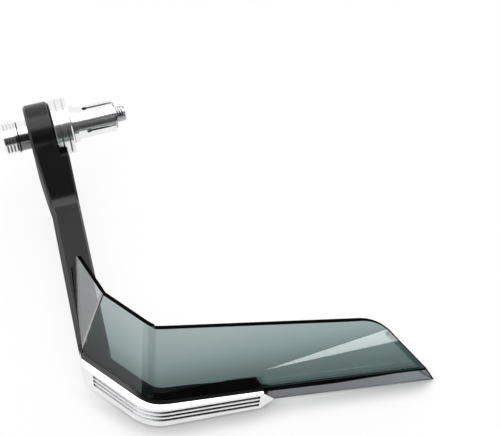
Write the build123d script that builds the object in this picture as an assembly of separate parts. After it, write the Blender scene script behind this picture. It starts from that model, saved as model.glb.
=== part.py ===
# Motorcycle hand guard for the right-hand bar end: a black arm held in the handlebar by an
# expander, a smoked wind shield in front of the hand and a bright trim strip on its lower edge.
# Millimetres. X runs inward along the handlebar, Y to the rear and Z up. The origin lies on the
# bar axis where the handlebar tube ends. While it is built, X counts from the collar's large face.
from build123d import *
import math
import os

# Bar-end hardware, turned round the X axis
sleeve_d = 17.0
sleeve_end_x = 23.0
sleeve_mouth_d = 14.2
sleeve_cone_length = 11.5
slit_count = 4
slit_width = 1.2
slit_root_x = 8.6
slit_turn = 10.0  # back from straight up, where the first slit lies
relief_hole_d = 2.6
step_d = 20.0
step_length = 3.0
sleeve_seat_depth = 0.6
sleeve_seat_gap = 0.2
collar_d = 30.0
collar_length = 9.4
collar_groove_depth = 0.8
collar_groove_width = 0.8
collar_groove_places = (0.36, 0.74)
bolt_d = 8.0
bolt_tip_x = 29.4
bolt_head_d = 13.0
bolt_head_length = 8.0
bolt_hex = 6.0
bolt_hex_depth = 4.0
bolt_hole_d = 8.7
wedge_length = 10.5
wedge_out = 1.2
cap_d = 17.2
cap_neck_d = 15.6
cap_neck_length = 5.0
cap_length = 13.4
cap_groove_count = 4
cap_groove_depth = 1.0
cap_groove_width = 0.9
cap_mouth_gap = 0.3
bush_d = 14.0
fit_gap = 0.04
cone_gap = 0.15
small_chamfer = 0.6

# Arm: head on the bar axis, sloping neck and straight part reaching forward
head_d = 30.0
head_length = 13.1
head_edge = 1.2
collar_seat_gap = 3.6
neck_slope = 47.0
neck_top_y = -34.5
neck_low_y = -20.0
neck_top_radius = 9.0
neck_low_radius = 22.0
neck_reach = 40.0
arm_top_z = -18.8
arm_height = 22.0
arm_width = 15.2
arm_outer_x = -20.6
arm_toe = 2.3
arm_setback = 32.6
arm_nose = 5.0
arm_edge = 1.0
arm_bevel = 2.4
head_blend_y = -9.0
arm_blend_y = -31.0

# Lattice relief on the arm's inner face
relief_depth = 1.3
relief_border = 2.4
ridge_width = 1.0
ridge_families = ((47.0, 8.5), (-8.0, 5.4))
smallest_cell = 2.0

# Shield, in a frame turned about Y so that the crease above its lip lies level
shield_tilt = 4.9
shield_wall = 2.6
shield_reach = 158.6
shield_length = 132.4
shield_sweep = 15.9
corner_x = 4.8
crease_z = -22.7
lip_height = 12.3
chamfer_length = 26.4
chamfer_sweep = 34.6
front_lean = Vector(6.0, 22.8, 25.9)
chamfer_lean = Vector(13.2, 15.6, 25.1)
wing_top_run = Vector(-5.4, 27.0, -7.6)
wing_low_run = Vector(4.8, 39.5, 2.4)
wing_rear_slope = 16.0
end_lean = Vector(-17.7, 24.1, 14.4)
tip_lean = Vector(5.9, 0.7, -lip_height)
valley_lean = Vector(-12.7, 17.7, 7.4)
facet_up_lean = Vector(-15.1, 19.9, 9.8)
facet_down_lean = Vector(-10.2, 14.7, 6.2)
facet_start_lean = Vector(0.0, 7.6, 3.5)
facet_place = 0.425
corner_fold_radius = 16.0
wing_fold_radius = 3.0
crease_round = 4.5
tab_depth = 18.0
tab_setback = 41.6
end_corner_radius = 22.0
slot_gap = 0.3

# Plate of the arm behind the shield's lip, and the trim strip in front of the lip
plate_depth = 3.6
plate_rise = 0.8
plate_height = 14.0
plate_length = 54.4
plate_end_slope = 74.0
strip_wall_corner = 5.4
strip_wall_end = 2.8
strip_height = 16.0
strip_end_height = 13.4
strip_top_gap = 0.3
strip_length = 57.6
strip_end_slope = 40.0
strip_outer_gap = 0.2
strip_rear_run = 2.4
strip_groove_depth = 0.7
strip_groove_height = 2.3
strip_groove_pitch = 3.5
strip_groove_count = 3
strip_groove_margin = 3.5

# Screws: two button heads through the shield's tab, three pan heads into the trim strip
screw_d = 4.0
screw_gap = 0.25
screw_hex = 2.5
button_head_d = 7.4
button_head_length = 2.2
button_head_round = 1.5
button_shank_length = 8.0
pocket_d = 10.4
pocket_depth = 3.0
pocket_rim_d = 13.4
pocket_setbacks = ((75.6, -29.9), (51.6, -29.6))
barrel_d = 5.8
barrel_length = 8.8
barrel_flange_d = 9.0
barrel_flange_length = 1.2
pan_head_d = 8.0
pan_head_length = 2.8
pan_head_round = 1.4
pan_recess = 1.4
trim_thread_depth = 2.0
trim_screw_z = -30.3
corner_screw_place = 0.47
front_screw_places = (23.2, 42.2)

reach = 900.0
cut_past = 1.0
hand_space = Vector(60.0, -60.0, -60.0)

# Places along the bar axis, from the collar's large face outward
head_inner_x = -collar_length
head_outer_x = head_inner_x - head_length
cap_outer_x = head_outer_x - cap_length
bolt_seat_x = cap_outer_x + bolt_head_length + cap_mouth_gap
arm_low_z = arm_top_z - arm_height
arm_inner_x = arm_outer_x + arm_width / math.cos(math.radians(arm_toe))
arm_front_y = arm_setback - shield_reach
lip_low_z = crease_z - lip_height
fold2_low = Vector(corner_x, -shield_reach, crease_z)
fold2_top = fold2_low + front_lean
fold1_low = fold2_low + Vector(-chamfer_length, chamfer_sweep, 0)
fold1_top = fold1_low + chamfer_lean
wing_top_rear = fold1_top + wing_top_run
wing_low_rear = fold1_low + wing_low_run
end_low = fold2_low + Vector(shield_length, -shield_sweep, 0)
end_top = end_low + end_lean
end_tip = end_low + tip_lean
valley_end = end_low + valley_lean
facet_up = end_low + facet_up_lean
facet_down = end_low + facet_down_lean
facet_start = fold2_low + (end_low - fold2_low) * facet_place + facet_start_lean
pocket_places = [(setback - shield_reach, z) for setback, z in pocket_setbacks]
tab_low_z = wing_low_rear.Z - tab_depth
tab_front_y = tab_setback - shield_reach


def half_space(point, normal):
    """Everything behind the plane through point that faces along normal."""
    facing = Plane(origin=point, z_dir=normal)
    return facing.location * Pos(0, 0, -reach / 2) * Box(reach, reach, reach)


def facing_out(first, second, third):
    """Plane through three points as a point and the normal that faces away from the hand."""
    normal = (second - first).cross(third - first).normalized()
    if normal.dot(first - hand_space) < 0:
        normal = normal * -1
    return first, normal


def upright(first, second):
    """Upright plane through two points, facing away from the hand."""
    return facing_out(first, second, first + Vector(0, 0, reach))


def behind(planes, offset=0.0):
    """Space behind all the planes, each moved outward by offset."""
    blocks = [half_space(point + normal * offset, normal) for point, normal in planes]
    space = blocks[0]
    for block in blocks[1:]:
        space = space & block
    return space


def behind_any(planes, offset=0.0):
    """Space behind at least one of the planes, each moved outward by offset."""
    blocks = [half_space(point + normal * offset, normal) for point, normal in planes]
    space = blocks[0]
    for block in blocks[1:]:
        space = space + block
    return space


def level_band(low, high):
    """Everything between two heights."""
    return Pos(0, 0, (low + high) / 2) * Box(2 * reach, 2 * reach, high - low)


def turned(profile):
    """Solid turned round the X axis from (x, radius) points."""
    face = make_face(Polyline(profile, close=True))
    return revolve(face, axis=Axis.X)


def rod(diameter, start_x, end_x):
    """Round bar on the bar axis."""
    return Plane.YZ.offset(start_x) * extrude(Circle(diameter / 2), end_x - start_x)


# Planes of the shield
toe_inward = Vector(math.cos(math.radians(arm_toe)), -math.sin(math.radians(arm_toe)), 0)
arm_down = Vector(math.sin(math.radians(shield_tilt)), 0, -math.cos(math.radians(shield_tilt)))
tab_front = fold1_low + (fold1_top - fold1_low) * ((wing_low_rear.Z - crease_z) / (fold1_top.Z - crease_z))
tab_plane = facing_out(wing_low_rear, tab_front, wing_low_rear + arm_down * tab_depth)
wing_rear_plane = facing_out(wing_top_rear, wing_low_rear, fold1_low)
wing_front_plane = facing_out(wing_top_rear, fold1_low, fold1_top)
chamfer_plane = facing_out(fold1_low, fold2_low, fold2_top)
upper_plane = facing_out(fold2_top, end_top, fold2_low)
lower_plane = facing_out(fold2_low, end_low, valley_end)
facet_plane = facing_out(facet_start, facet_up, facet_down)
chamfer_lip = upright(fold1_low, fold2_low)
front_lip = upright(fold2_low, end_low)
end_flange = facing_out(end_top, end_low, end_tip)
side_planes = [tab_plane, wing_rear_plane, wing_front_plane, chamfer_plane, chamfer_lip]
front_planes = [upper_plane, lower_plane, facet_plane]
lip_planes = [chamfer_lip, front_lip]
shield_frame = Rot(0, shield_tilt, 0)
along_top = (fold2_top - end_top).normalized()
along_end = (end_low - end_top).normalized()
corner_half_turn = math.radians(along_top.get_angle(along_end) / 2)
corner_tangent = end_corner_radius / math.tan(corner_half_turn)
rear_normal = Vector(0, math.cos(math.radians(wing_rear_slope)), math.sin(math.radians(wing_rear_slope)))


def fold_cutter(first, second, radius, offset):
    """Corner outside the round of the fold between two planes, each moved outward by offset."""
    fold = first[1].cross(second[1]).normalized()
    half_turn = math.radians(first[1].get_angle(second[1]) / 2)
    middle = (first[1] + second[1]).normalized()
    gap = (second[0] - first[0]).dot(second[1])
    across = (second[1] - first[1] * first[1].dot(second[1])).normalized()
    on_fold = first[0] + across * (gap / across.dot(second[1]))
    axis_point = on_fold - middle * (radius / math.cos(half_turn))
    frame = Plane(origin=axis_point, x_dir=middle, z_dir=fold)
    size = radius + offset
    tangent = (size * math.cos(half_turn), size * math.sin(half_turn))
    past_size = radius + cut_past
    past = (past_size * math.cos(half_turn), past_size * math.sin(half_turn))
    outer = past_size / math.cos(half_turn)
    edges = [
        ThreePointArc((tangent[0], -tangent[1]), (size, 0), tangent),
        Line(tangent, past),
        Line(past, (outer, 0)),
        Line((outer, 0), (past[0], -past[1])),
        Line((past[0], -past[1]), (tangent[0], -tangent[1])),
    ]
    return extrude(frame * make_face(edges), amount=reach / 2, both=True)


def lip_space(offset):
    """Space behind the lip with its corner rounded, moved outward by offset."""
    return behind(lip_planes, offset) - fold_cutter(chamfer_lip, front_lip, corner_fold_radius, offset)


def shield_body(offset):
    """Space inside the shield, with its skin moved outward by offset."""
    body = behind(side_planes + [front_lip, end_flange], offset) & behind_any(front_planes, offset)
    body = body - fold_cutter(wing_front_plane, chamfer_plane, wing_fold_radius, offset)
    body = body - fold_cutter(chamfer_plane, upper_plane, corner_fold_radius, offset)
    return body - fold_cutter(chamfer_lip, front_lip, corner_fold_radius, offset)


def shield_inside(gap):
    """Space inside the shield's wall, gap short of it, with the crease rounded."""
    edge = fold_cutter(lower_plane, front_lip, crease_round + shield_wall, -shield_wall - gap)
    return shield_body(-shield_wall - gap) - edge


def below_lip(gap):
    """Space under the lip in front of the tab, lowered by gap."""
    return level_band(-reach, lip_low_z - gap) & half_space(Vector(0, tab_front_y - gap, 0), Vector(0, 1, 0))


def top_cut(first, second, panel):
    """Cutter above the line from first to second, square to its panel."""
    normal = (second - first).cross(panel[1]).normalized()
    if normal.Z > 0:
        normal = normal * -1
    return half_space(first, normal)


def outside_fold(top, low, first_panel, second_panel):
    """Space on the bar-end side of the fold between two panels."""
    normal = (top - low).cross(first_panel[1] + second_panel[1]).normalized()
    if normal.X < 0:
        normal = normal * -1
    return half_space(top, normal)


def rim_cutters():
    """Cutters along the top edges of the wing, the chamfer and the front panel."""
    wing_side = outside_fold(fold1_top, fold1_low, wing_front_plane, chamfer_plane)
    chamfer_side = outside_fold(fold2_top, fold2_low, chamfer_plane, upper_plane)
    wing_cut = top_cut(wing_top_rear, fold1_top, wing_front_plane) & wing_side
    chamfer_cut = top_cut(fold1_top, fold2_top, chamfer_plane) & chamfer_side - wing_side
    front_cut = top_cut(fold2_top, end_top, upper_plane) - chamfer_side
    return [wing_cut, chamfer_cut, front_cut]


def end_corner_cutter():
    """Corner outside the round where the top edge of the front panel meets its inner end."""
    middle = (along_top + along_end).normalized()
    centre = end_top + middle * (end_corner_radius / math.sin(corner_half_turn))
    outer = end_top - middle * end_corner_radius
    start = end_top + along_top * corner_tangent
    finish = end_top + along_end * corner_tangent
    edges = [
        ThreePointArc(start, centre - middle * end_corner_radius, finish),
        Line(finish, outer),
        Line(outer, start),
    ]
    return extrude(make_face(edges), amount=end_corner_radius, dir=tuple(upper_plane[1]), both=True)


def make_shield():
    """Smoked shield: faceted wall, lip, inner-end flange and the tab for the arm's slot."""
    wall = shield_body(0.0) - shield_inside(0.0)
    wall = wall & level_band(tab_low_z, reach) - below_lip(0.0)
    for cutter in rim_cutters():
        wall = wall - cutter
    wall = wall & half_space(wing_top_rear, rear_normal)
    near_end = half_space(end_top - end_flange[1] * (shield_wall + cut_past), end_flange[1] * -1)
    flange_foot = half_space(end_tip, along_end.cross(end_flange[1]))
    flange_rear = half_space(end_top + along_end * corner_tangent, along_end)
    flange_rear = flange_rear & behind([upper_plane], -shield_wall)
    wall = wall - (near_end & flange_rear) - (near_end & flange_foot)
    wall = wall - end_corner_cutter()
    for place in trim_screw_places():
        wall = wall - place * drill(screw_d + 2 * screw_gap, -shield_wall - cut_past, cut_past)
    wall = shield_frame * wall
    for place in pocket_frames():
        wall = wall - place * drill(barrel_d + 2 * screw_gap, -arm_width, 0)
    return wall


# Arm


def inner_x(y):
    """Where the arm's inner face lies at a place along the arm."""
    return arm_inner_x + (y - neck_top_y) * math.tan(math.radians(arm_toe))


def drill(diameter, start, finish):
    """Round cutter or bar along the Z axis of its own frame."""
    return Pos(0, 0, (start + finish) / 2) * Cylinder(diameter / 2, finish - start)


def pocket_frames():
    """Frames on the arm's inner face at the two shield screws, Z pointing to the hand."""
    return [Plane(origin=(inner_x(y), y, z), z_dir=toe_inward).location for y, z in pocket_places]


def trim_screw_places():
    """Frames on the lip's outer face at the trim screws, Z pointing away from the hand."""
    corner = fold1_low + (fold2_low - fold1_low) * corner_screw_place
    spots = [(corner, chamfer_lip[1])]
    along = end_low - fold2_low
    for x in front_screw_places:
        spots.append((fold2_low + along * (x / shield_length), front_lip[1]))
    return [Plane(origin=(p.X, p.Y, trim_screw_z), z_dir=normal).location for p, normal in spots]


def side_outline():
    """Neck and straight part of the arm, seen from the side as (y, z)."""
    rise_y = neck_reach * math.cos(math.radians(neck_slope))
    rise_z = neck_reach * math.sin(math.radians(neck_slope))
    points = [
        (neck_top_y + rise_y, arm_top_z + rise_z),
        (neck_top_y, arm_top_z),
        (arm_front_y + arm_nose, arm_top_z),
        (arm_front_y, arm_top_z - arm_nose),
        (arm_front_y, arm_low_z + arm_nose / 2),
        (arm_front_y + arm_nose / 2, arm_low_z),
        (neck_low_y, arm_low_z),
        (neck_low_y + rise_y, arm_low_z + rise_z),
    ]
    outline = make_face(Polyline(points, close=True))
    for corner, radius in ((points[1], neck_top_radius), (points[6], neck_low_radius)):
        outline = fillet(outline.vertices().sort_by_distance(corner)[0], radius)
    return outline


def side_block():
    """Side outline of the arm drawn out sideways, wider than the arm."""
    return extrude(Plane.YZ * side_outline(), amount=reach / 2, both=True)


def bevelled_bar(outer_point, outer_normal, outer_bevel, front_y):
    """Side outline between the toed-out inner face and an outer plane, edges of both bevelled."""
    bar = side_block() & half_space(Vector(arm_inner_x, neck_top_y, 0), toe_inward)
    bar = bar & half_space(outer_point, outer_normal)
    bar = bar & half_space(Vector(0, front_y, 0), Vector(0, -1, 0))
    bar = chamfer(bar.faces().sort_by(Axis.X)[-1].edges(), arm_edge)
    return chamfer(bar.faces().sort_by(Axis.X)[0].edges(), outer_bevel)


def make_bar():
    """Neck and straight part of the arm, widened on the neck's outer side to meet the head."""
    outer_point = Vector(arm_outer_x, neck_top_y, 0)
    bar = bevelled_bar(outer_point, toe_inward * -1, arm_bevel, arm_front_y)
    blend_start = Vector(head_outer_x, head_blend_y, 0)
    blend_end = Vector(inner_x(arm_blend_y) - arm_width, arm_blend_y, 0)
    along = (blend_end - blend_start).normalized()
    blend = bevelled_bar(blend_start, Vector(along.Y, -along.X, 0), arm_edge, 2 * arm_blend_y)
    blend = blend & half_space(blend_start, Vector(-1, 0, 0))
    return bar + blend


def lattice_relief():
    """Shallow cells between the lattice ridges of the arm's inner face."""
    cells = offset(side_outline(), -relief_border)
    cells = cells - Circle(collar_d / 2 + collar_seat_gap + relief_border)
    middle_y = (neck_low_y + arm_front_y) / 2
    middle_z = arm_top_z - arm_height / 2
    for angle, pitch in ridge_families:
        half_count = math.ceil(-arm_front_y / 2 / pitch)
        for step in range(-half_count, half_count + 1):
            ridge = Pos(0, step * pitch) * Rectangle(3 * arm_height - arm_front_y, ridge_width)
            cells = cells - Pos(middle_y, middle_z) * Rot(0, 0, angle) * ridge
    for place in pocket_places:
        cells = cells - Pos(*place) * Circle(pocket_rim_d / 2)
    cells = [cell for cell in cells.faces() if cell.area > smallest_cell]
    floor = Plane.YZ.offset(inner_x(arm_front_y) - relief_depth)
    blocks = [extrude(floor * cell, amount=2 * arm_width) for cell in cells]
    solid_part = half_space(Vector(arm_inner_x, neck_top_y, 0) - toe_inward * relief_depth, toe_inward)
    return [block - solid_part for block in blocks]


def make_plate():
    """Plate of the arm that follows the inside of the shield's lip round the corner."""
    band = lip_space(-shield_wall) - lip_space(-shield_wall - plate_depth)
    top = crease_z + plate_rise
    band = band & level_band(top - plate_height, top) & shield_inside(slot_gap)
    slope = math.radians(plate_end_slope)
    end_point = Vector(corner_x + plate_length, end_low.Y, top - plate_height)
    band = band & half_space(end_point, Vector(math.sin(slope), 0, math.cos(slope)))
    band = band & half_space(end_point, Vector(1, 0, 0))
    for place in trim_screw_places():
        band = band - place * drill(screw_d + 2 * screw_gap, -shield_wall - plate_depth - cut_past, cut_past)
    return band


def make_arm():
    """Moulded arm: head, neck, straight part with lattice, slot for the tab and front plate."""
    head = rod(head_d, head_outer_x, head_inner_x)
    body = make_bar() + chamfer(head.edges(), head_edge)
    body = body & shield_frame * behind([chamfer_lip], -slot_gap)
    body = body - rod(collar_d + 2 * collar_seat_gap, head_inner_x, collar_length)
    body = body - rod(bush_d + 2 * fit_gap, head_outer_x, head_inner_x)
    for block in lattice_relief():
        body = body - block
    slot = shield_body(slot_gap) - shield_body(-shield_wall - slot_gap)
    slot = slot & level_band(tab_low_z - slot_gap, reach) - below_lip(slot_gap)
    slot = slot & half_space(wing_top_rear + rear_normal * slot_gap, rear_normal)
    body = body - shield_frame * slot
    body = body + shield_frame * make_plate()
    for place in pocket_frames():
        body = body - place * drill(pocket_d, -pocket_depth, relief_depth)
        body = body - place * drill(screw_d + 2 * screw_gap, -arm_width, 0)
        barrel_floor = -arm_width + barrel_length + screw_gap
        body = body - place * drill(barrel_d + 2 * screw_gap, -arm_width - cut_past, barrel_floor)
        flange_floor = -arm_width + barrel_flange_length
        body = body - place * drill(barrel_flange_d + 2 * screw_gap, -arm_width - cut_past, flange_floor)
    return body


# Trim strip


def make_strip():
    """Bright strip bent round the corner, grooved, with a pointed inner end."""
    along = end_low - fold2_low
    end_point = fold2_low + along * (strip_length / shield_length)
    corner_point = fold2_low + front_lip[1] * strip_wall_corner
    front_plane = upright(corner_point, end_point + front_lip[1] * strip_wall_end)
    chamfer_face = (fold1_low + chamfer_lip[1] * strip_wall_corner, chamfer_lip[1])
    faces = [chamfer_face, front_plane]
    radius = corner_fold_radius + strip_wall_corner
    top = crease_z - strip_top_gap
    low = top - strip_height
    outer_x = fold1_low.X - strip_outer_gap
    strip = behind(faces) - fold_cutter(chamfer_face, front_plane, radius, 0.0) - lip_space(0.0)
    strip = strip & level_band(low, top)
    strip = strip & half_space(Vector(outer_x, 0, 0), Vector(-1, 0, 0))
    strip = strip & half_space(Vector(0, fold1_low.Y + strip_rear_run, 0), Vector(0, 1, 0))
    rise = Vector(strip_length, 0, strip_height - strip_end_height)
    strip = strip & half_space(Vector(corner_x, 0, low), Vector(rise.Z, 0, -rise.X))
    tip = Vector(end_point.X, end_point.Y, top - strip_end_height / 2)
    slope = math.radians(strip_end_slope)
    for side in (-1, 1):
        facing = along.normalized() * math.cos(slope) + Vector(0, 0, side * math.sin(slope))
        strip = strip & half_space(tip, facing)
    groove_floor = behind(faces, -strip_groove_depth)
    groove_floor = groove_floor - fold_cutter(chamfer_face, front_plane, radius, -strip_groove_depth)
    ring = behind(faces, cut_past) - groove_floor
    ring = ring & half_space(tip - along.normalized() * 2 * strip_groove_margin, along)
    ring = ring & half_space(Vector(outer_x + strip_groove_margin, 0, 0), Vector(-1, 0, 0))
    for step in range(strip_groove_count):
        middle = tip.Z + (step - (strip_groove_count - 1) / 2) * strip_groove_pitch
        groove_low = middle - strip_groove_height / 2
        strip = strip - (ring & level_band(groove_low, groove_low + strip_groove_height))
    for place in trim_screw_places():
        strip = strip - place * drill(screw_d + 2 * fit_gap, -cut_past, trim_thread_depth + screw_gap)
    return shield_frame * strip


# Screws and nuts


def hex_socket(across, start, finish):
    """Hexagonal key socket along the Z axis of its own frame."""
    return Pos(0, 0, start) * extrude(RegularPolygon(across / 2, 6, major_radius=False), finish - start)


def make_shield_screws():
    """Button-head screws in the pockets of the arm's inner face."""
    seat = -pocket_depth
    screws = []
    for place in pocket_frames():
        head = drill(button_head_d, seat, seat + button_head_length)
        head = fillet(head.edges().group_by(Axis.Z)[-1], button_head_round)
        head = head - hex_socket(screw_hex, seat + button_head_length / 3, seat + pocket_depth)
        screws.append(place * (head + drill(screw_d, seat - button_shank_length, seat)))
    return Compound(screws)


def make_barrel_nuts():
    """Flanged barrel nuts in the outer face, through the shield's tab."""
    nuts = []
    for place in pocket_frames():
        nut = drill(barrel_d, -arm_width, -arm_width + barrel_length)
        nut = nut + drill(barrel_flange_d, -arm_width, -arm_width + barrel_flange_length)
        nuts.append(place * (nut - drill(screw_d + 2 * fit_gap, -2 * arm_width, 0)))
    return Compound(nuts)


def make_trim_screws():
    """Pan-head screws from behind the plate into the strip."""
    seat = -shield_wall - plate_depth
    screws = []
    for place in trim_screw_places():
        head = drill(pan_head_d, seat - pan_head_length, seat)
        head = fillet(head.edges().group_by(Axis.Z)[0], pan_head_round)
        recess = hex_socket(screw_hex, seat - pan_head_length - cut_past, seat - pan_head_length + pan_recess)
        screw = head + drill(screw_d, seat, trim_thread_depth) - recess
        screws.append(shield_frame * place * screw)
    return Compound(screws)


# Bar-end hardware


def make_collar():
    """Turned spacer collar with ring grooves and a smaller step that the sleeve's end sits in."""
    collar = rod(collar_d, head_inner_x, 0)
    collar = chamfer(collar.edges(), small_chamfer)
    for place in collar_groove_places:
        groove_x = head_inner_x + place * collar_length - collar_groove_width / 2
        ring = rod(collar_d + 2 * cut_past, groove_x, groove_x + collar_groove_width)
        collar = collar - (ring - rod(collar_d - 2 * collar_groove_depth, head_inner_x, 0))
    collar = collar + rod(step_d, 0, step_length)
    collar = collar - rod(sleeve_d + 2 * sleeve_seat_gap, step_length - sleeve_seat_depth, step_length)
    return collar - rod(bolt_hole_d, head_inner_x, step_length)


def make_sleeve():
    """Expander sleeve: slit from its end, with a round relief hole at the root of each slit."""
    cone_start_x = sleeve_end_x - sleeve_cone_length
    sleeve = turned([
        (step_length - sleeve_seat_depth, bolt_hole_d / 2),
        (cone_start_x, bolt_hole_d / 2),
        (sleeve_end_x, sleeve_mouth_d / 2),
        (sleeve_end_x, sleeve_d / 2),
        (step_length, sleeve_d / 2),
        (step_length - sleeve_seat_depth, sleeve_d / 2 - sleeve_seat_depth),
    ])
    for index in range(slit_count):
        slit_length = sleeve_end_x + cut_past - slit_root_x
        slit = Pos(slit_root_x + slit_length / 2, 0, sleeve_d / 2) * Box(slit_length, slit_width, sleeve_d)
        hole = Pos(slit_root_x, 0, sleeve_d / 2) * Cylinder(relief_hole_d / 2, sleeve_d)
        sleeve = sleeve - Rot(360 / slit_count * index - slit_turn, 0, 0) * (slit + hole)
    return sleeve


def make_wedge():
    """Threaded cone that the bolt draws into the sleeve."""
    slope = (sleeve_mouth_d - bolt_hole_d) / 2 / sleeve_cone_length
    end_x = sleeve_end_x + wedge_out
    nose_x = end_x - wedge_length
    mouth_r = sleeve_mouth_d / 2 - cone_gap
    return turned([
        (nose_x, bolt_d / 2 + fit_gap),
        (nose_x, mouth_r - (sleeve_end_x - nose_x) * slope),
        (sleeve_end_x, mouth_r),
        (end_x, mouth_r),
        (end_x, bolt_d / 2 + fit_gap),
    ])


def make_bolt():
    """Socket-head clamp bolt along the whole bar-end stack."""
    head = rod(bolt_head_d, bolt_seat_x - bolt_head_length, bolt_seat_x)
    shank = rod(bolt_d, bolt_seat_x, bolt_tip_x)
    shank = chamfer(shank.edges().group_by(Axis.X)[-1], small_chamfer)
    socket = Plane.YZ.offset(bolt_seat_x - bolt_head_length)
    socket = socket * extrude(RegularPolygon(bolt_hex / 2, 6, major_radius=False), bolt_hex_depth)
    return head + shank - socket


def make_cap():
    """Bar-end cap outside the head: plain neck, then ring grooves, bored for the bolt head."""
    neck_x = head_outer_x - cap_neck_length
    cap = rod(cap_d, cap_outer_x, neck_x)
    cap = chamfer(cap.edges(), small_chamfer)
    pitch = (cap_length - cap_neck_length) / (cap_groove_count + 1)
    core = rod(cap_d - 2 * cap_groove_depth, cap_outer_x, neck_x)
    for index in range(cap_groove_count):
        middle = cap_outer_x + pitch * (index + 1)
        ring = rod(cap_d + 2 * cut_past, middle - cap_groove_width / 2, middle + cap_groove_width / 2)
        cap = cap - (ring - core)
    cap = cap + rod(cap_neck_d, neck_x, head_outer_x)
    cap = cap - rod(bolt_head_d + 2 * cap_mouth_gap, cap_outer_x, bolt_seat_x)
    return cap - rod(bolt_hole_d, cap_outer_x, head_outer_x)


def make_bush():
    """Steel bush that carries the clamping load through the plastic head."""
    return rod(bush_d, head_outer_x, head_inner_x) - rod(bolt_hole_d, head_outer_x, head_inner_x)


nodes = {
    "guard_arm": make_arm(),
    "wind_shield": make_shield(),
    "trim_strip": make_strip(),
    "shield_screws": make_shield_screws(),
    "shield_barrel_nuts": make_barrel_nuts(),
    "trim_screws": make_trim_screws(),
    "spacer_collar": make_collar(),
    "expander_sleeve": make_sleeve(),
    "wedge_nut": make_wedge(),
    "clamp_bolt": make_bolt(),
    "bar_end_cap": make_cap(),
    "head_bush": make_bush(),
}

# The finished part's origin is at the end of the handlebar tube, on the collar's step
os.makedirs("parts", exist_ok=True)
for name, shape in nodes.items():
    export_step(Pos(-step_length, 0, 0) * shape, f"parts/{name}.step")
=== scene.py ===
import math

import bmesh
import bpy
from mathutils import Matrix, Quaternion, Vector


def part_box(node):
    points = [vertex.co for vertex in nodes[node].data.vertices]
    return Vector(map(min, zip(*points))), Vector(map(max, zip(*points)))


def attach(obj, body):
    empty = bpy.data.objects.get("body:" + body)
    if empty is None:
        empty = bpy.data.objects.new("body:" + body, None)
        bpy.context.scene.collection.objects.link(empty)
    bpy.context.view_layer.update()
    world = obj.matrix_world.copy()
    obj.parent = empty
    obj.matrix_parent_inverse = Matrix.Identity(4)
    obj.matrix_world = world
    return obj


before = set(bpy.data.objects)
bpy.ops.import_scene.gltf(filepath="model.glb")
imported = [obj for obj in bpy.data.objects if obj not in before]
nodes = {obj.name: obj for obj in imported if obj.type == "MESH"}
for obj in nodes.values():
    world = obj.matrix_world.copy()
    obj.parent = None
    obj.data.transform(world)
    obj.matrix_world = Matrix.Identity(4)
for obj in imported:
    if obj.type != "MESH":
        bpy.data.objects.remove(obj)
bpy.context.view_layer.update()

MM = 0.001
scene = bpy.context.scene
scene.view_settings.view_transform = "Standard"


# Camera, fitted to the photograph

CAMERA_PLACE = Vector((-26.59, -397.556, 429.599)) * MM
CAMERA_TARGET = Vector((76.801, -63.321, -33.0)) * MM
CAMERA_LENS = 78.336
CAMERA_SENSOR = 36.0
CAMERA_CLIP = (0.01, 20.0)


def make_camera():
    data = bpy.data.cameras.new("camera")
    data.sensor_fit = "HORIZONTAL"
    data.sensor_width = CAMERA_SENSOR
    data.lens = CAMERA_LENS
    data.clip_start, data.clip_end = CAMERA_CLIP
    camera = bpy.data.objects.new("camera", data)
    camera.location = CAMERA_PLACE
    camera.rotation_euler = (CAMERA_TARGET - CAMERA_PLACE).to_track_quat("-Z", "Y").to_euler()
    scene.collection.objects.link(camera)
    scene.camera = camera


make_camera()


# Node helpers


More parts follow.
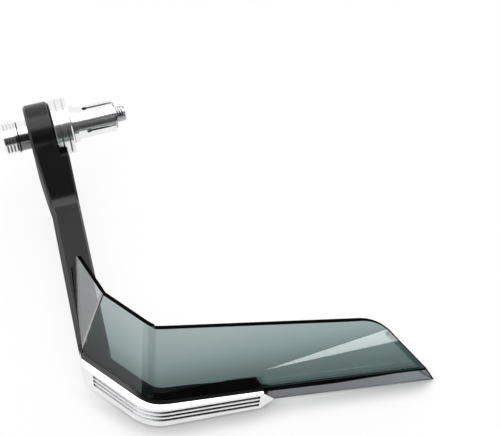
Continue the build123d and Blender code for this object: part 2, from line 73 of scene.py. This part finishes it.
class Nodes:
    """Short calls for building a node tree."""

    def __init__(self, tree):
        self.tree = tree
        tree.nodes.clear()

    def add(self, kind, **settings):
        node = self.tree.nodes.new(kind)
        for name, value in settings.items():
            setattr(node, name, value)
        return node

    def link(self, source, target):
        self.tree.links.new(source, target)

    def math(self, operation, *values):
        node = self.add("ShaderNodeMath", operation=operation)
        for socket, value in zip(node.inputs, values):
            if isinstance(value, (int, float)):
                socket.default_value = value
            else:
                self.link(value, socket)
        return node.outputs[0]

    def split(self, vector):
        node = self.add("ShaderNodeSeparateXYZ")
        self.link(vector, node.inputs[0])
        return node.outputs

    def ramp(self, source, stops):
        """A colour ramp, where a single number as colour is a grey."""
        node = self.add("ShaderNodeValToRGB")
        elements = node.color_ramp.elements
        while len(elements) < len(stops):
            elements.new(0.5)
        for element, (place, colour) in zip(elements, stops):
            rgb = colour if isinstance(colour, tuple) else (colour, colour, colour)
            element.position = place
            element.color = (*rgb, 1.0)
        self.link(source, node.inputs[0])
        return node.outputs[0]

    def noise(self, vector, scale, detail=2.0, roughness=0.5):
        node = self.add("ShaderNodeTexNoise")
        node.inputs["Scale"].default_value = scale
        node.inputs["Detail"].default_value = detail
        node.inputs["Roughness"].default_value = roughness
        self.link(vector, node.inputs["Vector"])
        return node.outputs["Fac"]

    def stretch(self, vector, scale):
        node = self.add("ShaderNodeMapping")
        node.inputs["Scale"].default_value = scale
        self.link(vector, node.inputs["Vector"])
        return node.outputs[0]

    def span(self, value, low, high):
        """Turns 0 to 1 into low to high."""
        node = self.add("ShaderNodeMapRange")
        node.inputs["To Min"].default_value = low
        node.inputs["To Max"].default_value = high
        self.link(value, node.inputs["Value"])
        return node.outputs[0]

    def fade(self, value, start, finish):
        """Runs from 0 at start to 1 at finish and stays there."""
        node = self.add("ShaderNodeMapRange")
        node.inputs["From Min"].default_value = start
        node.inputs["From Max"].default_value = finish
        self.link(value, node.inputs["Value"])
        return node.outputs[0]

    def between(self, value, lower, upper):
        """1 between two limits, each a fade's start and finish."""
        return self.product(self.fade(value, *lower), self.fade(value, *upper))

    def product(self, first, *others):
        for other in others:
            first = self.math("MULTIPLY", first, other)
        return first

    def largest(self, first, *others):
        for other in others:
            first = self.math("MAXIMUM", first, other)
        return first

    def past_plane(self, vector, normal, offset):
        """How far a point lies in front of a plane."""
        node = self.add("ShaderNodeVectorMath", operation="DOT_PRODUCT")
        self.link(vector, node.inputs[0])
        node.inputs[1].default_value = normal
        return self.math("SUBTRACT", node.outputs["Value"], offset)

    def bump(self, height, strength, distance):
        node = self.add("ShaderNodeBump")
        node.inputs["Strength"].default_value = strength
        node.inputs["Distance"].default_value = distance
        self.link(height, node.inputs["Height"])
        return node.outputs[0]

    def mix_shaders(self, share, first, second):
        node = self.add("ShaderNodeMixShader")
        self.link(share, node.inputs[0])
        self.link(first, node.inputs[1])
        self.link(second, node.inputs[2])
        return node.outputs[0]

    def mix_colours(self, share, first, second):
        node = self.add("ShaderNodeMix", data_type="RGBA")
        self.link(share, node.inputs["Factor"])
        self.link(first, node.inputs["A"])
        self.link(second, node.inputs["B"])
        return node.outputs["Result"]

    def multiply_colours(self, first, *others):
        for other in others:
            node = self.add("ShaderNodeMix", data_type="RGBA", blend_type="MULTIPLY")
            node.inputs["Factor"].default_value = 1.0
            self.link(first, node.inputs["A"])
            self.link(other, node.inputs["B"])
            first = node.outputs["Result"]
        return first


def new_material(name):
    material = bpy.data.materials.new(name)
    material.use_nodes = True
    return material, Nodes(material.node_tree)


def finish_surface(nt, surface):
    out = nt.add("ShaderNodeOutputMaterial")
    nt.link(surface, out.inputs["Surface"])
    return out


def object_coordinates(nt):
    return nt.add("ShaderNodeTexCoord").outputs["Object"]


def face_direction(nt):
    """The surface's direction, as x, y and z."""
    return nt.split(nt.add("ShaderNodeTexCoord").outputs["Normal"])


# Black arm

ARM_COLOURS = [(0.3, (0.003, 0.003, 0.0033)), (0.75, (0.0055, 0.0055, 0.006))]
ARM_PATCH_SCALE = 60.0
ARM_SPECULAR = 0.45
SIDE_FACE_X = (0.85, 0.95)
SIDE_EXTRA_ROUGH = 0.4


def satin_black(name, grain_scale, low_rough, high_rough):
    """Fine-grained black plastic, greyer in patches and duller on its upright sides."""
    material, nt = new_material(name)
    coords = object_coordinates(nt)
    shader = nt.add("ShaderNodeBsdfPrincipled")
    patches = nt.noise(coords, ARM_PATCH_SCALE, 3.0)
    nt.link(nt.ramp(patches, ARM_COLOURS), shader.inputs["Base Color"])
    grain = nt.noise(coords, grain_scale, 4.0, 0.6)
    side = nt.math("ABSOLUTE", face_direction(nt)["X"])
    duller = nt.span(nt.fade(side, *SIDE_FACE_X), 0.0, SIDE_EXTRA_ROUGH)
    rough = nt.math("ADD", nt.span(grain, low_rough, high_rough), duller)
    nt.link(rough, shader.inputs["Roughness"])
    nt.link(nt.bump(grain, 0.05, 0.1 * MM), shader.inputs["Normal"])
    shader.inputs["Specular IOR Level"].default_value = ARM_SPECULAR
    finish_surface(nt, shader.outputs[0])
    return material


# Smoked shield
#
# A plane is a unit normal and the plane's distance from the origin along it.
# A pair of numbers is a fade: the mark is absent at the first and full at the second.

SHIELD_TILT = math.radians(4.9)
CREASE_Z = -23.5 * MM
PANEL_RIM = ((0.2284, 0.6517, 0.7232), -85.032 * MM)
END_RIM = ((0.8656, 0.3607, 0.3473), 39.187 * MM)
END_CORNER_R = 22.0 * MM
CHAMFER_RIM = ((0.5340, 0.3505, 0.7694), -41.561 * MM)

SHIELD_IOR = 1.585
# The plastic's smoke colour by height, with painted shade that darkens it toward the crease.
SMOKE_AND_SHADE_RISE = (CREASE_Z, 0.0)
SMOKE_AND_SHADE_BY_RISE = [
    (0.0, (0.15, 0.205, 0.2)),
    (0.2, (0.245, 0.31, 0.305)),
    (0.5, (0.42, 0.505, 0.51)),
    (0.9, (0.6, 0.655, 0.655)),
]
CLOUDS = [(0.3, (0.95, 0.97, 0.97)), (0.7, (0.99, 1.0, 1.0))]
SHADE_X = (-10 * MM, 110 * MM)
SHADES = [(0.0, 0.82), (1.0, 1.0)]
CORNER_FACE_X = ((-0.48, -0.42), (-0.18, -0.3))
CORNER_SHADES = [(0.0, 1.0), (1.0, 0.82)]
# Painted shade and reflection on the lip, lighter toward its tip.
LIP_X = (70 * MM, 125 * MM)
LIP_SHADE_AND_REFLECTION = [
    (0.1, (0.145, 0.148, 0.157)),
    (0.62, (0.18, 0.18, 0.206)),
    (0.95, (0.235, 0.257, 0.285)),
]
LIP_FACE_Y = (-0.92, -0.97)
WING_FACE_X = (-0.70, -0.76)
WING_COAT_IOR = 2.0
WING_COAT_ROUGH = 0.06
SMOKE_COLOUR = (0.125, 0.293, 0.28, 1.0)
SMOKE_DENSITY = 120.0
SHADOW_TINT = (0.4, 0.46, 0.45, 1.0)

PANEL_TURN = (0.35, 0.25)
CHAMFER_TURN = ((0.25, 0.35), (0.7, 0.65))

# Painted shade: black on the shield's edges, crease, lip band, foot and inner end.
EDGE_SHADE_TONES = [(0.3, 0.002), (0.7, 0.006)]
RIM_FACE_X = ((-0.6, -0.4), (0.8, 0.7))
RIM_FACE_Y = (0.02, 0.12)
RIM_FACE_Z = (0.05, 0.15)
PANEL_BAND = (-1.1 * MM, -0.9 * MM)
THINNER_BAND_X = (100 * MM, 120 * MM)
THINNER_BAND_BY = 0.4 * MM
CHAMFER_BAND = (-0.7 * MM, -0.5 * MM)
CREASE_FACE_Y = (-0.76, -0.82)
CREASE_FACE_Z = ((0.02, 0.06), (0.6, 0.54))
LIP_BAND_DEPTH = 3.4 * MM
LIP_BAND_TAPER = 2.4 * MM
LIP_BAND_TAPER_X = (88 * MM, 118 * MM)
LIP_BAND_WAVE = 0.9 * MM
LIP_BAND_EDGE = (CREASE_Z - 0.2 * MM, CREASE_Z + 0.4 * MM)
LIP_BAND_FACE_Y = (-0.9, -0.95)
FOOT_RISE = (CREASE_Z + 3.0 * MM, CREASE_Z + 2.4 * MM)
FOOT_X = (54 * MM, 48 * MM)
INNER_END_FACE_X = ((0.2, 0.3), (0.85, 0.75))
INNER_END_FACE_Z = (-0.05, 0.05)

# Painted highlights: pale lines on the wing's fold and inside the chamfer's edge.
HIGHLIGHT_TONES = [(0.3, 0.62), (0.7, 0.72)]
FOLD_FACE_X = ((-0.81, -0.77), (-0.62, -0.66))
FOLD_FACE_Y = ((-0.46, -0.42), (-0.08, -0.12))
FOLD_FACE_Z = (0.45, 0.5)
FOLD_HIGHLIGHT = 0.55
INSIDE_RIM = ((-1.5 * MM, -1.3 * MM), (-0.6 * MM, -0.8 * MM))
INSIDE_RIM_HIGHLIGHT = 0.25


class ShieldPlace:
    """Sockets that say where on the shield a point lies and which way it faces."""

    def __init__(self, nt):
        self.coords = object_coordinates(nt)
        self.face_x, self.face_y, self.face_z = face_direction(nt)
        self.along, _, height = nt.split(self.coords)
        self.rise = nt.math("MULTIPLY_ADD", self.along, math.tan(SHIELD_TILT), height)
        self.haze = nt.noise(self.coords, 35.0, 2.0)
        turn = nt.math("ABSOLUTE", self.face_x)
        self.on_panel = nt.fade(turn, *PANEL_TURN)
        self.on_chamfer = nt.between(turn, *CHAMFER_TURN)
        self.past_chamfer_rim = nt.past_plane(self.coords, *CHAMFER_RIM)
        backfacing = nt.add("ShaderNodeNewGeometry").outputs["Backfacing"]
        self.outside = nt.math("SUBTRACT", 1.0, backfacing)


def past_panel_rim(nt, coords):
    """How far a point of the front panel lies past its outline, round the corner at the inner end."""
    top = nt.past_plane(coords, *PANEL_RIM)
    end = nt.past_plane(coords, *END_RIM)
    cosine = Vector(PANEL_RIM[0]).dot(Vector(END_RIM[0]))
    up = nt.math("ADD", top, END_CORNER_R)
    out = nt.math("ADD", end, END_CORNER_R)
    squares = nt.math("MULTIPLY_ADD", out, out, nt.math("MULTIPLY", up, up))
    squares = nt.math("MULTIPLY_ADD", nt.math("MULTIPLY", up, out), -2 * cosine, squares)
    radius = nt.math("SQRT", nt.math("DIVIDE", squares, 1 - cosine * cosine))
    in_corner = nt.product(
        nt.math("GREATER_THAN", up, nt.math("MULTIPLY", out, cosine)),
        nt.math("GREATER_THAN", out, nt.math("MULTIPLY", up, cosine)),
    )
    # Outside the corner this is -1 m, so that the straight outlines decide.
    round_part = nt.math("MULTIPLY_ADD", in_corner, nt.math("ADD", radius, 1 - END_CORNER_R), -1.0)
    return nt.largest(top, end, round_part)


def shield_smoke(nt, place):
    """The plastic's smoke colour, with painted shade that deepens toward the crease, darker toward
    the outer end and over the fold, and with painted shade and reflection on the lip that lighten
    toward its tip.
    """
    cloud = nt.ramp(place.haze, CLOUDS)
    across = nt.ramp(nt.fade(place.along, *SHADE_X), SHADES)
    corner = nt.ramp(nt.between(place.face_x, *CORNER_FACE_X), CORNER_SHADES)
    # Painted shade: the smoke colour darkens toward the crease, standing in for the shaded floor seen
    # through the lower panel.
    smoke_and_shade = nt.ramp(nt.fade(place.rise, *SMOKE_AND_SHADE_RISE), SMOKE_AND_SHADE_BY_RISE)
    panels = nt.multiply_colours(cloud, across, corner, smoke_and_shade)
    # Painted shade and reflection on the lip, lighter toward its tip.
    lip = nt.ramp(nt.fade(place.along, *LIP_X), LIP_SHADE_AND_REFLECTION)
    return nt.mix_colours(nt.fade(place.face_y, *LIP_FACE_Y), panels, lip)


def shield_painted_shade(nt, place):
    """Where painted shade makes the shield black: its edges, its crease, a band on the lip, the foot
    in front of the arm's plate and the inner end, standing in for light lost in the thick plastic and
    for the dark plate behind it.
    """
    rim = nt.product(
        nt.fade(place.face_y, *RIM_FACE_Y),
        nt.fade(place.face_z, *RIM_FACE_Z),
        nt.between(place.face_x, *RIM_FACE_X),
    )
    thinner = nt.math("MULTIPLY", nt.fade(place.along, *THINNER_BAND_X), THINNER_BAND_BY)
    past_rim = nt.math("SUBTRACT", past_panel_rim(nt, place.coords), thinner)
    panel_band = nt.product(nt.fade(past_rim, *PANEL_BAND), place.on_panel)
    chamfer_band = nt.product(nt.fade(place.past_chamfer_rim, *CHAMFER_BAND), place.on_chamfer)
    crease = nt.product(
        nt.between(place.face_z, *CREASE_FACE_Z),
        nt.fade(place.face_y, *CREASE_FACE_Y),
        place.outside,
    )
    taper = nt.fade(place.along, *LIP_BAND_TAPER_X)
    wave = nt.noise(nt.stretch(place.coords, (1.0, 0.0, 0.0)), 45.0, 1.0)
    depth = nt.math("MULTIPLY_ADD", taper, -LIP_BAND_TAPER, LIP_BAND_DEPTH)
    depth = nt.math("MULTIPLY_ADD", wave, LIP_BAND_WAVE, depth)
    lip_band = nt.product(
        nt.fade(nt.math("ADD", place.rise, depth), *LIP_BAND_EDGE),
        nt.fade(place.face_y, *LIP_BAND_FACE_Y),
        place.outside,
    )
    foot = nt.product(
        nt.fade(place.rise, *FOOT_RISE),
        nt.fade(place.along, *FOOT_X),
        place.on_panel,
        place.outside,
    )
    inner_end = nt.product(
        nt.between(place.face_x, *INNER_END_FACE_X),
        nt.fade(place.face_z, *INNER_END_FACE_Z),
    )
    return nt.largest(rim, panel_band, chamfer_band, crease, lip_band, foot, inner_end)


def shield_painted_highlights(nt, place):
    """Where light is painted on the shield as pale highlight lines: the fold of the wing and a line
    inside the chamfer's edge.
    """
    fold = nt.product(
        nt.between(place.face_x, *FOLD_FACE_X),
        nt.between(place.face_y, *FOLD_FACE_Y),
        nt.fade(place.face_z, *FOLD_FACE_Z),
    )
    inside_rim = nt.product(nt.between(place.past_chamfer_rim, *INSIDE_RIM), place.on_chamfer)
    return nt.largest(nt.product(fold, FOLD_HIGHLIGHT), nt.product(inside_rim, INSIDE_RIM_HIGHLIGHT))


def smoked_clear(name):
    """Smoked clear plastic with painted shade on its edges and crease, painted highlights on the
    wing's fold and chamfer, and a brighter polish on the wing.
    """
    material, nt = new_material(name)
    place = ShieldPlace(nt)

    shader = nt.add("ShaderNodeBsdfPrincipled")
    shader.inputs["Transmission Weight"].default_value = 1.0
    shader.inputs["IOR"].default_value = SHIELD_IOR
    nt.link(shield_smoke(nt, place), shader.inputs["Base Color"])
    nt.link(nt.span(place.haze, 0.015, 0.05), shader.inputs["Roughness"])
    ripple = nt.noise(nt.stretch(place.coords, (1.0, 1.0, 2.0)), 22.0, 1.0)
    nt.link(nt.bump(ripple, 0.03, 0.4 * MM), shader.inputs["Normal"])
    shader.inputs["Coat IOR"].default_value = WING_COAT_IOR
    shader.inputs["Coat Roughness"].default_value = WING_COAT_ROUGH
    nt.link(nt.fade(place.face_x, *WING_FACE_X), shader.inputs["Coat Weight"])

    # Painted shade: black diffuse laid over the clear plastic on the edges, crease, lip band and
    # foot.
    edge = nt.add("ShaderNodeBsdfDiffuse")
    nt.link(nt.ramp(place.haze, EDGE_SHADE_TONES), edge.inputs["Color"])
    body = nt.mix_shaders(shield_painted_shade(nt, place), shader.outputs[0], edge.outputs[0])

    # Painted highlights: pale lines on the wing's fold and inside the chamfer's edge.
    highlight = nt.add("ShaderNodeBsdfDiffuse")
    nt.link(nt.ramp(place.haze, HIGHLIGHT_TONES), highlight.inputs["Color"])
    body = nt.mix_shaders(shield_painted_highlights(nt, place), body, highlight.outputs[0])

    clear = nt.add("ShaderNodeBsdfTransparent")
    clear.inputs["Color"].default_value = SHADOW_TINT
    in_shadow = nt.add("ShaderNodeLightPath").outputs["Is Shadow Ray"]
    out = finish_surface(nt, nt.mix_shaders(in_shadow, body, clear.outputs[0]))
    volume = nt.add("ShaderNodeVolumeAbsorption")
    volume.inputs["Color"].default_value = SMOKE_COLOUR
    volume.inputs["Density"].default_value = SMOKE_DENSITY
    nt.link(volume.outputs[0], out.inputs["Volume"])
    return material


# Metals

# Painted shade down in the grooves of the metal, found by ambient occlusion.
GROOVE_REACH = 1.2 * MM
GROOVE_OPENNESS = (0.95, 0.55)
GROOVE_SHADE_TONES = [(0.0, 1.0), (1.0, 0.1)]
TOP_FACE_Z = (0.2, 0.7)
# Painted shade on the front-facing half of the cap's neck.
NECK_START = (-0.1 * MM, 0.1 * MM)
NECK_FACE_Y = (-0.45, -0.7)
NECK_SHADE_TONES = [(0.0, 1.0), (1.0, 0.22)]

STRIP_BACK_FRONT = ((-0.1188, -0.9929, 0.0102), 157.336 * MM)
STRIP_BACK_SIDE = ((-0.7920, -0.6067, 0.0679), 94.858 * MM)
STRIP_BEND_ROUNDING = 8.8 * MM
STRIP_SIDE_X = (4 * MM, -8 * MM)
STRIP_SIDE_GROOVES = 0.3
# Painted shade: a black margin along the strip's back.
MARGIN_X = (0.0, 52 * MM)
MARGIN_WIDTHS = (2.6 * MM, 1.7 * MM)
MARGIN_EDGE = (0.15 * MM, -0.15 * MM)
MARGIN_FACE_Z = (0.8, 0.9)
MARGIN_TONE_X = (-9 * MM, -4 * MM)
MARGIN_SHADE_TONES = [(0.0, 0.04), (1.0, 0.004)]


def strip_shade_margin(nt, coords, along, face_z, colour):
    """Adds painted shade as a black margin along the strip's back, narrower toward the inner end."""
    from_back = nt.math(
        "SMOOTH_MAX",
        nt.past_plane(coords, *STRIP_BACK_FRONT),
        nt.past_plane(coords, *STRIP_BACK_SIDE),
        STRIP_BEND_ROUNDING,
    )
    width = nt.span(nt.fade(along, *MARGIN_X), *MARGIN_WIDTHS)
    past_margin = nt.math("SUBTRACT", from_back, width)
    margin = nt.product(nt.fade(past_margin, *MARGIN_EDGE), nt.fade(face_z, *MARGIN_FACE_Z))
    black = nt.ramp(nt.fade(along, *MARGIN_TONE_X), MARGIN_SHADE_TONES)
    return nt.mix_colours(margin, colour, black)


def bright_metal(name, tone, rough, stretch, pale_top=0.0, neck_x=None, is_strip=False):
    """Bright metal with fine tool marks that run one way, with painted shade down in its grooves.

    pale_top fades the painted groove shade where the metal faces up, neck_x starts painted
    shade on the front-facing half of a neck, and the strip has a black margin of painted shade
    along its back and paler painted groove shade on its side.
    """
    material, nt = new_material(name)
    coords = object_coordinates(nt)
    _, face_y, face_z = face_direction(nt)
    along = nt.split(coords)["X"]
    shader = nt.add("ShaderNodeBsdfPrincipled")
    shader.inputs["Metallic"].default_value = 1.0

    darker = tuple(0.94 * value for value in tone)
    colour = nt.ramp(nt.noise(coords, 90.0, 2.0), [(0.3, darker), (0.7, tone)])
    # Painted shade: the colour darkens where ambient occlusion finds a groove close by.
    openness = nt.add("ShaderNodeAmbientOcclusion", samples=8, only_local=True)
    openness.inputs["Distance"].default_value = GROOVE_REACH
    groove = nt.fade(openness.outputs["AO"], *GROOVE_OPENNESS)
    if pale_top:
        groove = nt.product(groove, nt.span(nt.fade(face_z, *TOP_FACE_Z), 1.0, 1.0 - pale_top))
    if is_strip:
        side = nt.fade(along, *STRIP_SIDE_X)
        groove = nt.product(groove, nt.span(side, 1.0, STRIP_SIDE_GROOVES))
    colour = nt.multiply_colours(colour, nt.ramp(groove, GROOVE_SHADE_TONES))
    # Painted shade on the front-facing half of the cap's neck.
    if neck_x is not None:
        past_neck = nt.fade(along, neck_x + NECK_START[0], neck_x + NECK_START[1])
        neck = nt.product(past_neck, nt.fade(face_y, *NECK_FACE_Y))
        colour = nt.multiply_colours(colour, nt.ramp(neck, NECK_SHADE_TONES))
    # Painted shade: a black margin along the strip's back.
    if is_strip:
        colour = strip_shade_margin(nt, coords, along, face_z, colour)
    nt.link(colour, shader.inputs["Base Color"])

    lines = nt.noise(nt.stretch(coords, stretch), 1.0, 3.0, 0.65)
    nt.link(nt.span(lines, *rough), shader.inputs["Roughness"])
    nt.link(nt.bump(lines, 0.06, 0.05 * MM), shader.inputs["Normal"])
    finish_surface(nt, shader.outputs[0])
    return material


# The materials and the nodes that wear them

CAP_NECK_LENGTH = 5.0 * MM
STRIP_TONE = (0.9, 0.9, 0.91)
TURNED_TONE = (0.9, 0.9, 0.9)
TURNED_ROUGH = (0.1, 0.24)
TURNED_LINES = (7000.0, 60.0, 60.0)
TURNED_PALE_TOP = 0.8

arm_black = satin_black("arm_black", 2600.0, 0.2, 0.28)
shield_smoked = smoked_clear("shield_smoked")
strip_metal = bright_metal(
    "strip_metal", STRIP_TONE, (0.16, 0.3), (300.0, 300.0, 9000.0), is_strip=True
)
turned_metal = bright_metal(
    "turned_metal", TURNED_TONE, TURNED_ROUGH, TURNED_LINES, TURNED_PALE_TOP
)
cap_neck_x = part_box("guard_arm")[0][0] - CAP_NECK_LENGTH
cap_metal = bright_metal(
    "cap_metal", TURNED_TONE, TURNED_ROUGH, TURNED_LINES, TURNED_PALE_TOP, cap_neck_x
)
screw_metal = bright_metal("screw_metal", (0.72, 0.72, 0.73), (0.2, 0.38), (900.0, 900.0, 900.0))
inner_steel = bright_metal("inner_steel", (0.5, 0.5, 0.52), (0.12, 0.26), (5000.0, 200.0, 200.0))

EDGE_ANGLE = math.radians(28)
ARM_EDGE = 0.35 * MM
SHIELD_EDGE = 1.0 * MM
STRIP_EDGE = 0.25 * MM
SMALL_EDGE = 0.2 * MM


def dress(name, material, edge_width, segments=2):
    """Gives a CAD node its material and rounds its sharp edges a little."""
    node = nodes[name]
    node.data.materials.clear()
    node.data.materials.append(material)
    bevel = node.modifiers.new("edge_round", "BEVEL")
    bevel.width = edge_width
    bevel.segments = segments
    bevel.limit_method = "ANGLE"
    bevel.angle_limit = EDGE_ANGLE
    bevel.harden_normals = False
    bevel.miter_outer = "MITER_ARC"
    smooth = node.modifiers.new("even_normals", "WEIGHTED_NORMAL")
    smooth.keep_sharp = True


dress("guard_arm", arm_black, ARM_EDGE)
dress("wind_shield", shield_smoked, SHIELD_EDGE, 3)
dress("trim_strip", strip_metal, STRIP_EDGE)
dress("shield_screws", screw_metal, SMALL_EDGE)
dress("shield_barrel_nuts", screw_metal, SMALL_EDGE)
dress("trim_screws", screw_metal, SMALL_EDGE)
dress("spacer_collar", turned_metal, SMALL_EDGE)
dress("expander_sleeve", turned_metal, SMALL_EDGE)
dress("wedge_nut", inner_steel, SMALL_EDGE)
dress("clamp_bolt", inner_steel, SMALL_EDGE)
dress("bar_end_cap", cap_metal, SMALL_EDGE)
dress("head_bush", inner_steel, SMALL_EDGE)


# Thread on the clamp bolt's tip

BOLT_R = 4.0 * MM
THREAD_PITCH = 1.25 * MM
THREAD_LENGTH = 5.0 * MM
THREAD_HEIGHT = 0.22 * MM
THREAD_SINK = 0.25 * THREAD_HEIGHT
THREAD_HALF_WIDTH = 0.4 * THREAD_PITCH
THREAD_RUN_OUT = 1 / 12
THREAD_END_GAP = 0.9 * MM
STEPS_PER_TURN = 36


def make_bolt_thread():
    """A ridge that winds round the bolt's tip and sinks into it at both ends."""
    finish_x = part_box("clamp_bolt")[1][0] - THREAD_END_GAP
    steps = round(THREAD_LENGTH / THREAD_PITCH * STEPS_PER_TURN)
    foot_r = BOLT_R - THREAD_SINK
    mesh = bmesh.new()
    rings = []
    for step in range(steps + 1):
        share = step / steps
        angle = 2 * math.pi * step / STEPS_PER_TURN
        middle_x = finish_x - THREAD_LENGTH * (1 - share)
        growth = min(1.0, share / THREAD_RUN_OUT, (1 - share) / THREAD_RUN_OUT)
        crest_r = foot_r + growth * (THREAD_HEIGHT + THREAD_SINK)
        profile = ((-THREAD_HALF_WIDTH, foot_r), (0.0, crest_r), (THREAD_HALF_WIDTH, foot_r))
        ring = []
        for offset, radius in profile:
            place = (middle_x + offset, radius * math.cos(angle), radius * math.sin(angle))
            ring.append(mesh.verts.new(place))
        rings.append(ring)
    for first, second in zip(rings, rings[1:]):
        for side in range(3):
            other = (side + 1) % 3
            mesh.faces.new((first[side], first[other], second[other], second[side]))
    mesh.faces.new(rings[0][::-1])
    mesh.faces.new(rings[-1])
    bmesh.ops.recalc_face_normals(mesh, faces=mesh.faces)
    data = bpy.data.meshes.new("bolt_thread")
    mesh.to_mesh(data)
    mesh.free()
    data.materials.append(inner_steel)
    thread = bpy.data.objects.new("bolt_thread", data)
    scene.collection.objects.link(thread)
    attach(thread, "root")


make_bolt_thread()


# Stage: a pale floor that touches the arm's underside and the shield's tip

FLOOR_LEFT = Vector((-23.0, 0.0, -41.0)) * MM
FLOOR_RIGHT = Vector((136.6, 0.0, -47.3)) * MM
FLOOR_HALF = 4.0
FLOOR_TONES = [(0.3, 0.94), (0.7, 0.96)]
CONTACT_REACH = 14 * MM
CONTACT_OPENNESS = (0.85, 0.3)
CONTACT_Y = (-130 * MM, -150 * MM)
CONTACT_SHADOW_TONES = [(0.0, 1.0), (1.0, 0.4)]
BEHIND_Y = (-165 * MM, -120 * MM)
AWAY_OPENNESS = (0.6, 0.95)
CAMERA_GLOW = (0.45, 0.85)
TRANSMISSION_GLOW = (0.45, 0.8)
GLOSSY_GLOW = 0.75


def floor_material():
    """White floor that keeps the object's shadow, with painted contact shadow where the front of the
    guard meets it and painted light that whitens it away from the guard and behind it.
    """
    material, nt = new_material("floor_white")
    coords = object_coordinates(nt)
    toward_back = nt.split(coords)["Y"]
    path = nt.add("ShaderNodeLightPath")
    openness = nt.add("ShaderNodeAmbientOcclusion", samples=16)
    openness.inputs["Distance"].default_value = CONTACT_REACH

    # Painted contact shadow: darker where ambient occlusion finds the guard close, at the front only.
    closed = nt.product(
        nt.fade(openness.outputs["AO"], *CONTACT_OPENNESS), nt.fade(toward_back, *CONTACT_Y)
    )
    contact_shadow = nt.ramp(closed, CONTACT_SHADOW_TONES)
    base = nt.add("ShaderNodeBsdfDiffuse")
    tone = nt.ramp(nt.noise(coords, 3.0, 2.0), FLOOR_TONES)
    nt.link(nt.multiply_colours(tone, contact_shadow), base.inputs["Color"])

    glow = nt.add("ShaderNodeEmission")
    nt.link(nt.largest(contact_shadow, path.outputs["Is Glossy Ray"]), glow.inputs["Color"])
    glow.inputs["Strength"].default_value = 1.0
    # Painted light: the floor glows more away from the guard and behind it, which narrows and
    # lightens its shadow.
    behind = nt.fade(toward_back, *BEHIND_Y)
    away = nt.largest(behind, nt.fade(openness.outputs["AO"], *AWAY_OPENNESS))
    share = nt.largest(
        nt.product(path.outputs["Is Camera Ray"], nt.span(away, *CAMERA_GLOW)),
        nt.product(path.outputs["Is Transmission Ray"], nt.span(behind, *TRANSMISSION_GLOW)),
        nt.product(path.outputs["Is Glossy Ray"], GLOSSY_GLOW),
    )
    finish_surface(nt, nt.mix_shaders(share, base.outputs[0], glow.outputs[0]))
    return material


def make_floor():
    slope = (FLOOR_RIGHT.z - FLOOR_LEFT.z) / (FLOOR_RIGHT.x - FLOOR_LEFT.x)
    corners = []
    for side, end in ((-1, -1), (1, -1), (1, 1), (-1, 1)):
        x = side * FLOOR_HALF
        corners.append((x, end * FLOOR_HALF, FLOOR_LEFT.z + (x - FLOOR_LEFT.x) * slope))
    mesh = bpy.data.meshes.new("floor")
    mesh.from_pydata(corners, [], [(0, 1, 2, 3)])
    floor = bpy.data.objects.new("floor", mesh)
    floor.data.materials.append(floor_material())
    scene.collection.objects.link(floor)


make_floor()


# Light

DOME_TONES = [(0.5, 0.06), (0.75, 1.0)]
WHITE = (1.0, 1.0, 1.0, 1.0)


def make_world():
    """White to the eye, with a soft dome that is bright behind and dim in front."""
    world = bpy.data.worlds.new("studio")
    scene.world = world
    world.use_nodes = True
    nt = Nodes(world.node_tree)
    toward_back = nt.split(nt.add("ShaderNodeTexCoord").outputs["Generated"])["Y"]
    dome = nt.add("ShaderNodeBackground")
    nt.link(nt.ramp(nt.math("MULTIPLY_ADD", toward_back, 0.5, 0.5), DOME_TONES), dome.inputs["Color"])
    dome.inputs["Strength"].default_value = 1.0
    white = nt.add("ShaderNodeBackground")
    white.inputs["Color"].default_value = WHITE
    white.inputs["Strength"].default_value = 1.0
    path = nt.add("ShaderNodeLightPath")
    seen = nt.largest(path.outputs["Is Camera Ray"], path.outputs["Is Transmission Ray"])
    out = nt.add("ShaderNodeOutputWorld")
    nt.link(nt.mix_shaders(seen, dome.outputs[0], white.outputs[0]), out.inputs["Surface"])


make_world()


def soft_box(name, place, target, size, brightness, turn=0.0):
    """A rectangular lamp whose face is as bright as stated, where 1 is white."""
    width, height = size
    data = bpy.data.lights.new(name, "AREA")
    data.shape = "RECTANGLE"
    data.size = width
    data.size_y = height
    data.energy = brightness * math.pi * width * height
    lamp = bpy.data.objects.new(name, data)
    lamp.location = Vector(place)
    aim = (Vector(target) - Vector(place)).to_track_quat("-Z", "Y")
    lamp.rotation_euler = (aim @ Quaternion((0.0, 0.0, 1.0), math.radians(turn))).to_euler()
    scene.collection.objects.link(lamp)


soft_box("top_box", (0.05, -0.09, 1.2), (0.05, -0.0899, 0.0), (2.4, 0.85), 2.1, 45.0)
soft_box("front_box", (0.414, -0.96, 0.78), (0.09, -0.13, -0.02), (0.34, 0.2), 6.2)
soft_box("left_box", (-1.25, 0.1, 0.36), (0.0, -0.1, 0.0), (1.6, 0.7), 1.0)
soft_box("right_box", (1.0, 0.9, 0.36), (0.0, -0.1, 0.0), (1.2, 0.7), 2.5)
